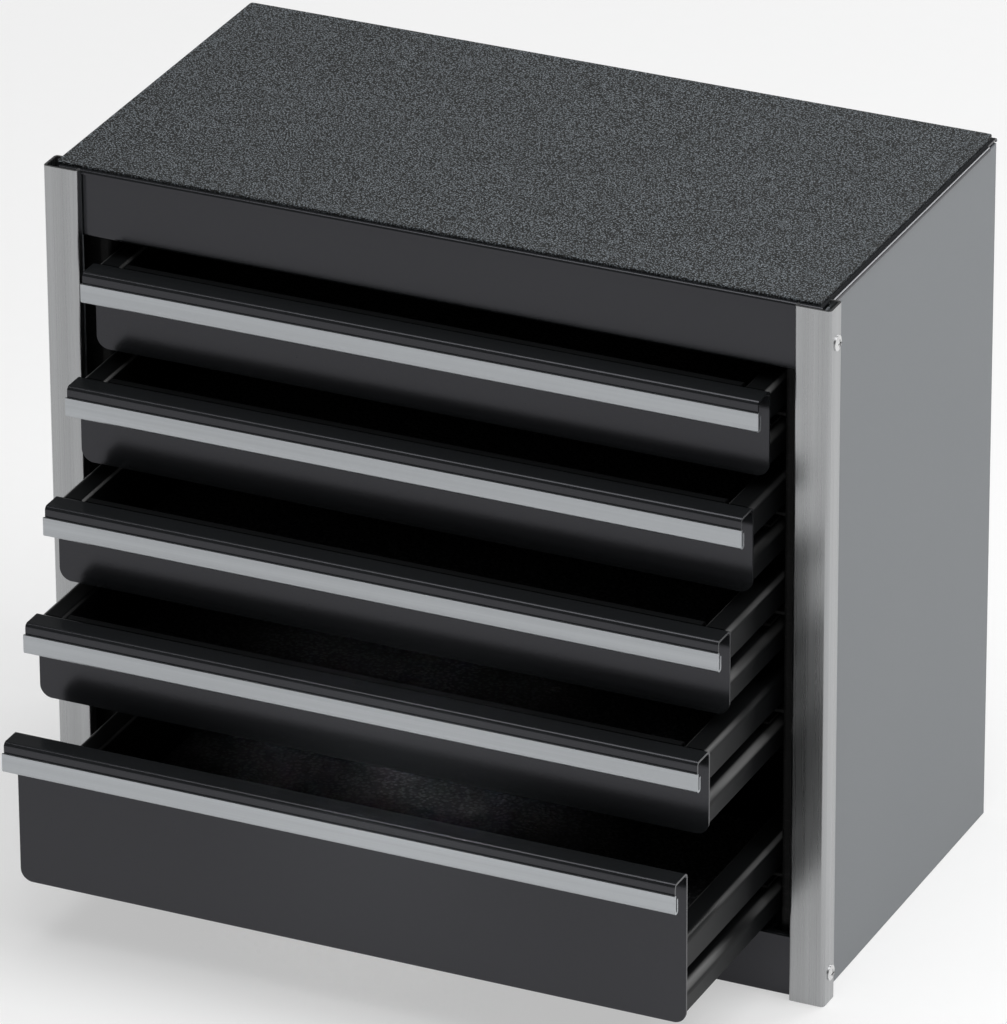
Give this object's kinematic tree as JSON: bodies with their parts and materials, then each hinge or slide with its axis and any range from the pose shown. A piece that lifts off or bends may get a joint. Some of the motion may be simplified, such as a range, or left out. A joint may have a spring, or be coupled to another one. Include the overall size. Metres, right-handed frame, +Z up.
{
  "type": "drawer cabinet",
  "caption": "Small benchtop sheet-metal drawer box for sockets, with full-width pull drawers on side rails, corner posts and a textured rubber top mat.",
  "frame": {"origin": "centre of the cabinet's footprint, on the surface it stands on", "axes": "+X to the right along the width, +Y to the back, +Z up; drawers pull out along -Y"},
  "size_m": [0.3222, 0.2593, 0.2873],
  "materials": {
    "black_enamel": "satin black enamel",
    "post_steel": "brushed lengthwise",
    "side_enamel": "satin silver-grey enamel",
    "strip_aluminium": "satin anodized",
    "mat_rubber": "pebble grain",
    "liner_rubber": "fine pebble grain",
    "slide_enamel": "satin black enamel",
    "screw_chrome": "bright plated",
    "rivet_aluminium": "plain"
  },
  "bodies": {
    "cabinet": {"top_panel": "black_enamel", "top_mat": "mat_rubber", "right_side_panel": "side_enamel", "left_side_panel": "side_enamel", "back_panel": "side_enamel", "bottom_panel": "side_enamel", "top_fascia": "black_enamel", "bottom_fascia": "black_enamel", "right_corner_post": "post_steel", "left_corner_post": "post_steel", "post_screws": "screw_chrome", "back_rivets": "rivet_aluminium", "right_front_upright": "slide_enamel", "left_front_upright": "slide_enamel", "right_rear_upright": "slide_enamel", "left_rear_upright": "slide_enamel", "right_rail_1": "slide_enamel", "left_rail_1": "slide_enamel", "right_rail_2": "slide_enamel", "left_rail_2": "slide_enamel", "right_rail_3": "slide_enamel", "left_rail_3": "slide_enamel", "right_rail_4": "slide_enamel", "left_rail_4": "slide_enamel", "right_rail_5": "slide_enamel", "left_rail_5": "slide_enamel"},
    "drawer_1": {"drawer_1_tray": "black_enamel", "drawer_1_right_runner": "black_enamel", "drawer_1_left_runner": "black_enamel", "drawer_1_front": "black_enamel", "drawer_1_trim_strip": "strip_aluminium", "drawer_1_liner": "liner_rubber"},
    "drawer_2": {"drawer_2_tray": "black_enamel", "drawer_2_right_runner": "black_enamel", "drawer_2_left_runner": "black_enamel", "drawer_2_front": "black_enamel", "drawer_2_trim_strip": "strip_aluminium", "drawer_2_liner": "liner_rubber"},
    "drawer_3": {"drawer_3_tray": "black_enamel", "drawer_3_right_runner": "black_enamel", "drawer_3_left_runner": "black_enamel", "drawer_3_front": "black_enamel", "drawer_3_trim_strip": "strip_aluminium", "drawer_3_liner": "liner_rubber"},
    "drawer_4": {"drawer_4_tray": "black_enamel", "drawer_4_right_runner": "black_enamel", "drawer_4_left_runner": "black_enamel", "drawer_4_front": "black_enamel", "drawer_4_trim_strip": "strip_aluminium", "drawer_4_liner": "liner_rubber"},
    "drawer_5": {"drawer_5_tray": "black_enamel", "drawer_5_right_runner": "black_enamel", "drawer_5_left_runner": "black_enamel", "drawer_5_front": "black_enamel", "drawer_5_trim_strip": "strip_aluminium", "drawer_5_liner": "liner_rubber"}
  },
  "joints": [
    {"name": "drawer_1_slide", "type": "slide", "parent": "cabinet", "child": "drawer_1", "axis": [0, -1, 0], "range_m": [-0.0071, 0.1049]},
    {"name": "drawer_2_slide", "type": "slide", "parent": "cabinet", "child": "drawer_2", "axis": [0, -1, 0], "range_m": [-0.0218, 0.0902]},
    {"name": "drawer_3_slide", "type": "slide", "parent": "cabinet", "child": "drawer_3", "axis": [0, -1, 0], "range_m": [-0.0422, 0.0698]},
    {"name": "drawer_4_slide", "type": "slide", "parent": "cabinet", "child": "drawer_4", "axis": [0, -1, 0], "range_m": [-0.0606, 0.0514]},
    {"name": "drawer_5_slide", "type": "slide", "parent": "cabinet", "child": "drawer_5", "axis": [0, -1, 0], "range_m": [-0.0805, 0.0315]}
  ]
}
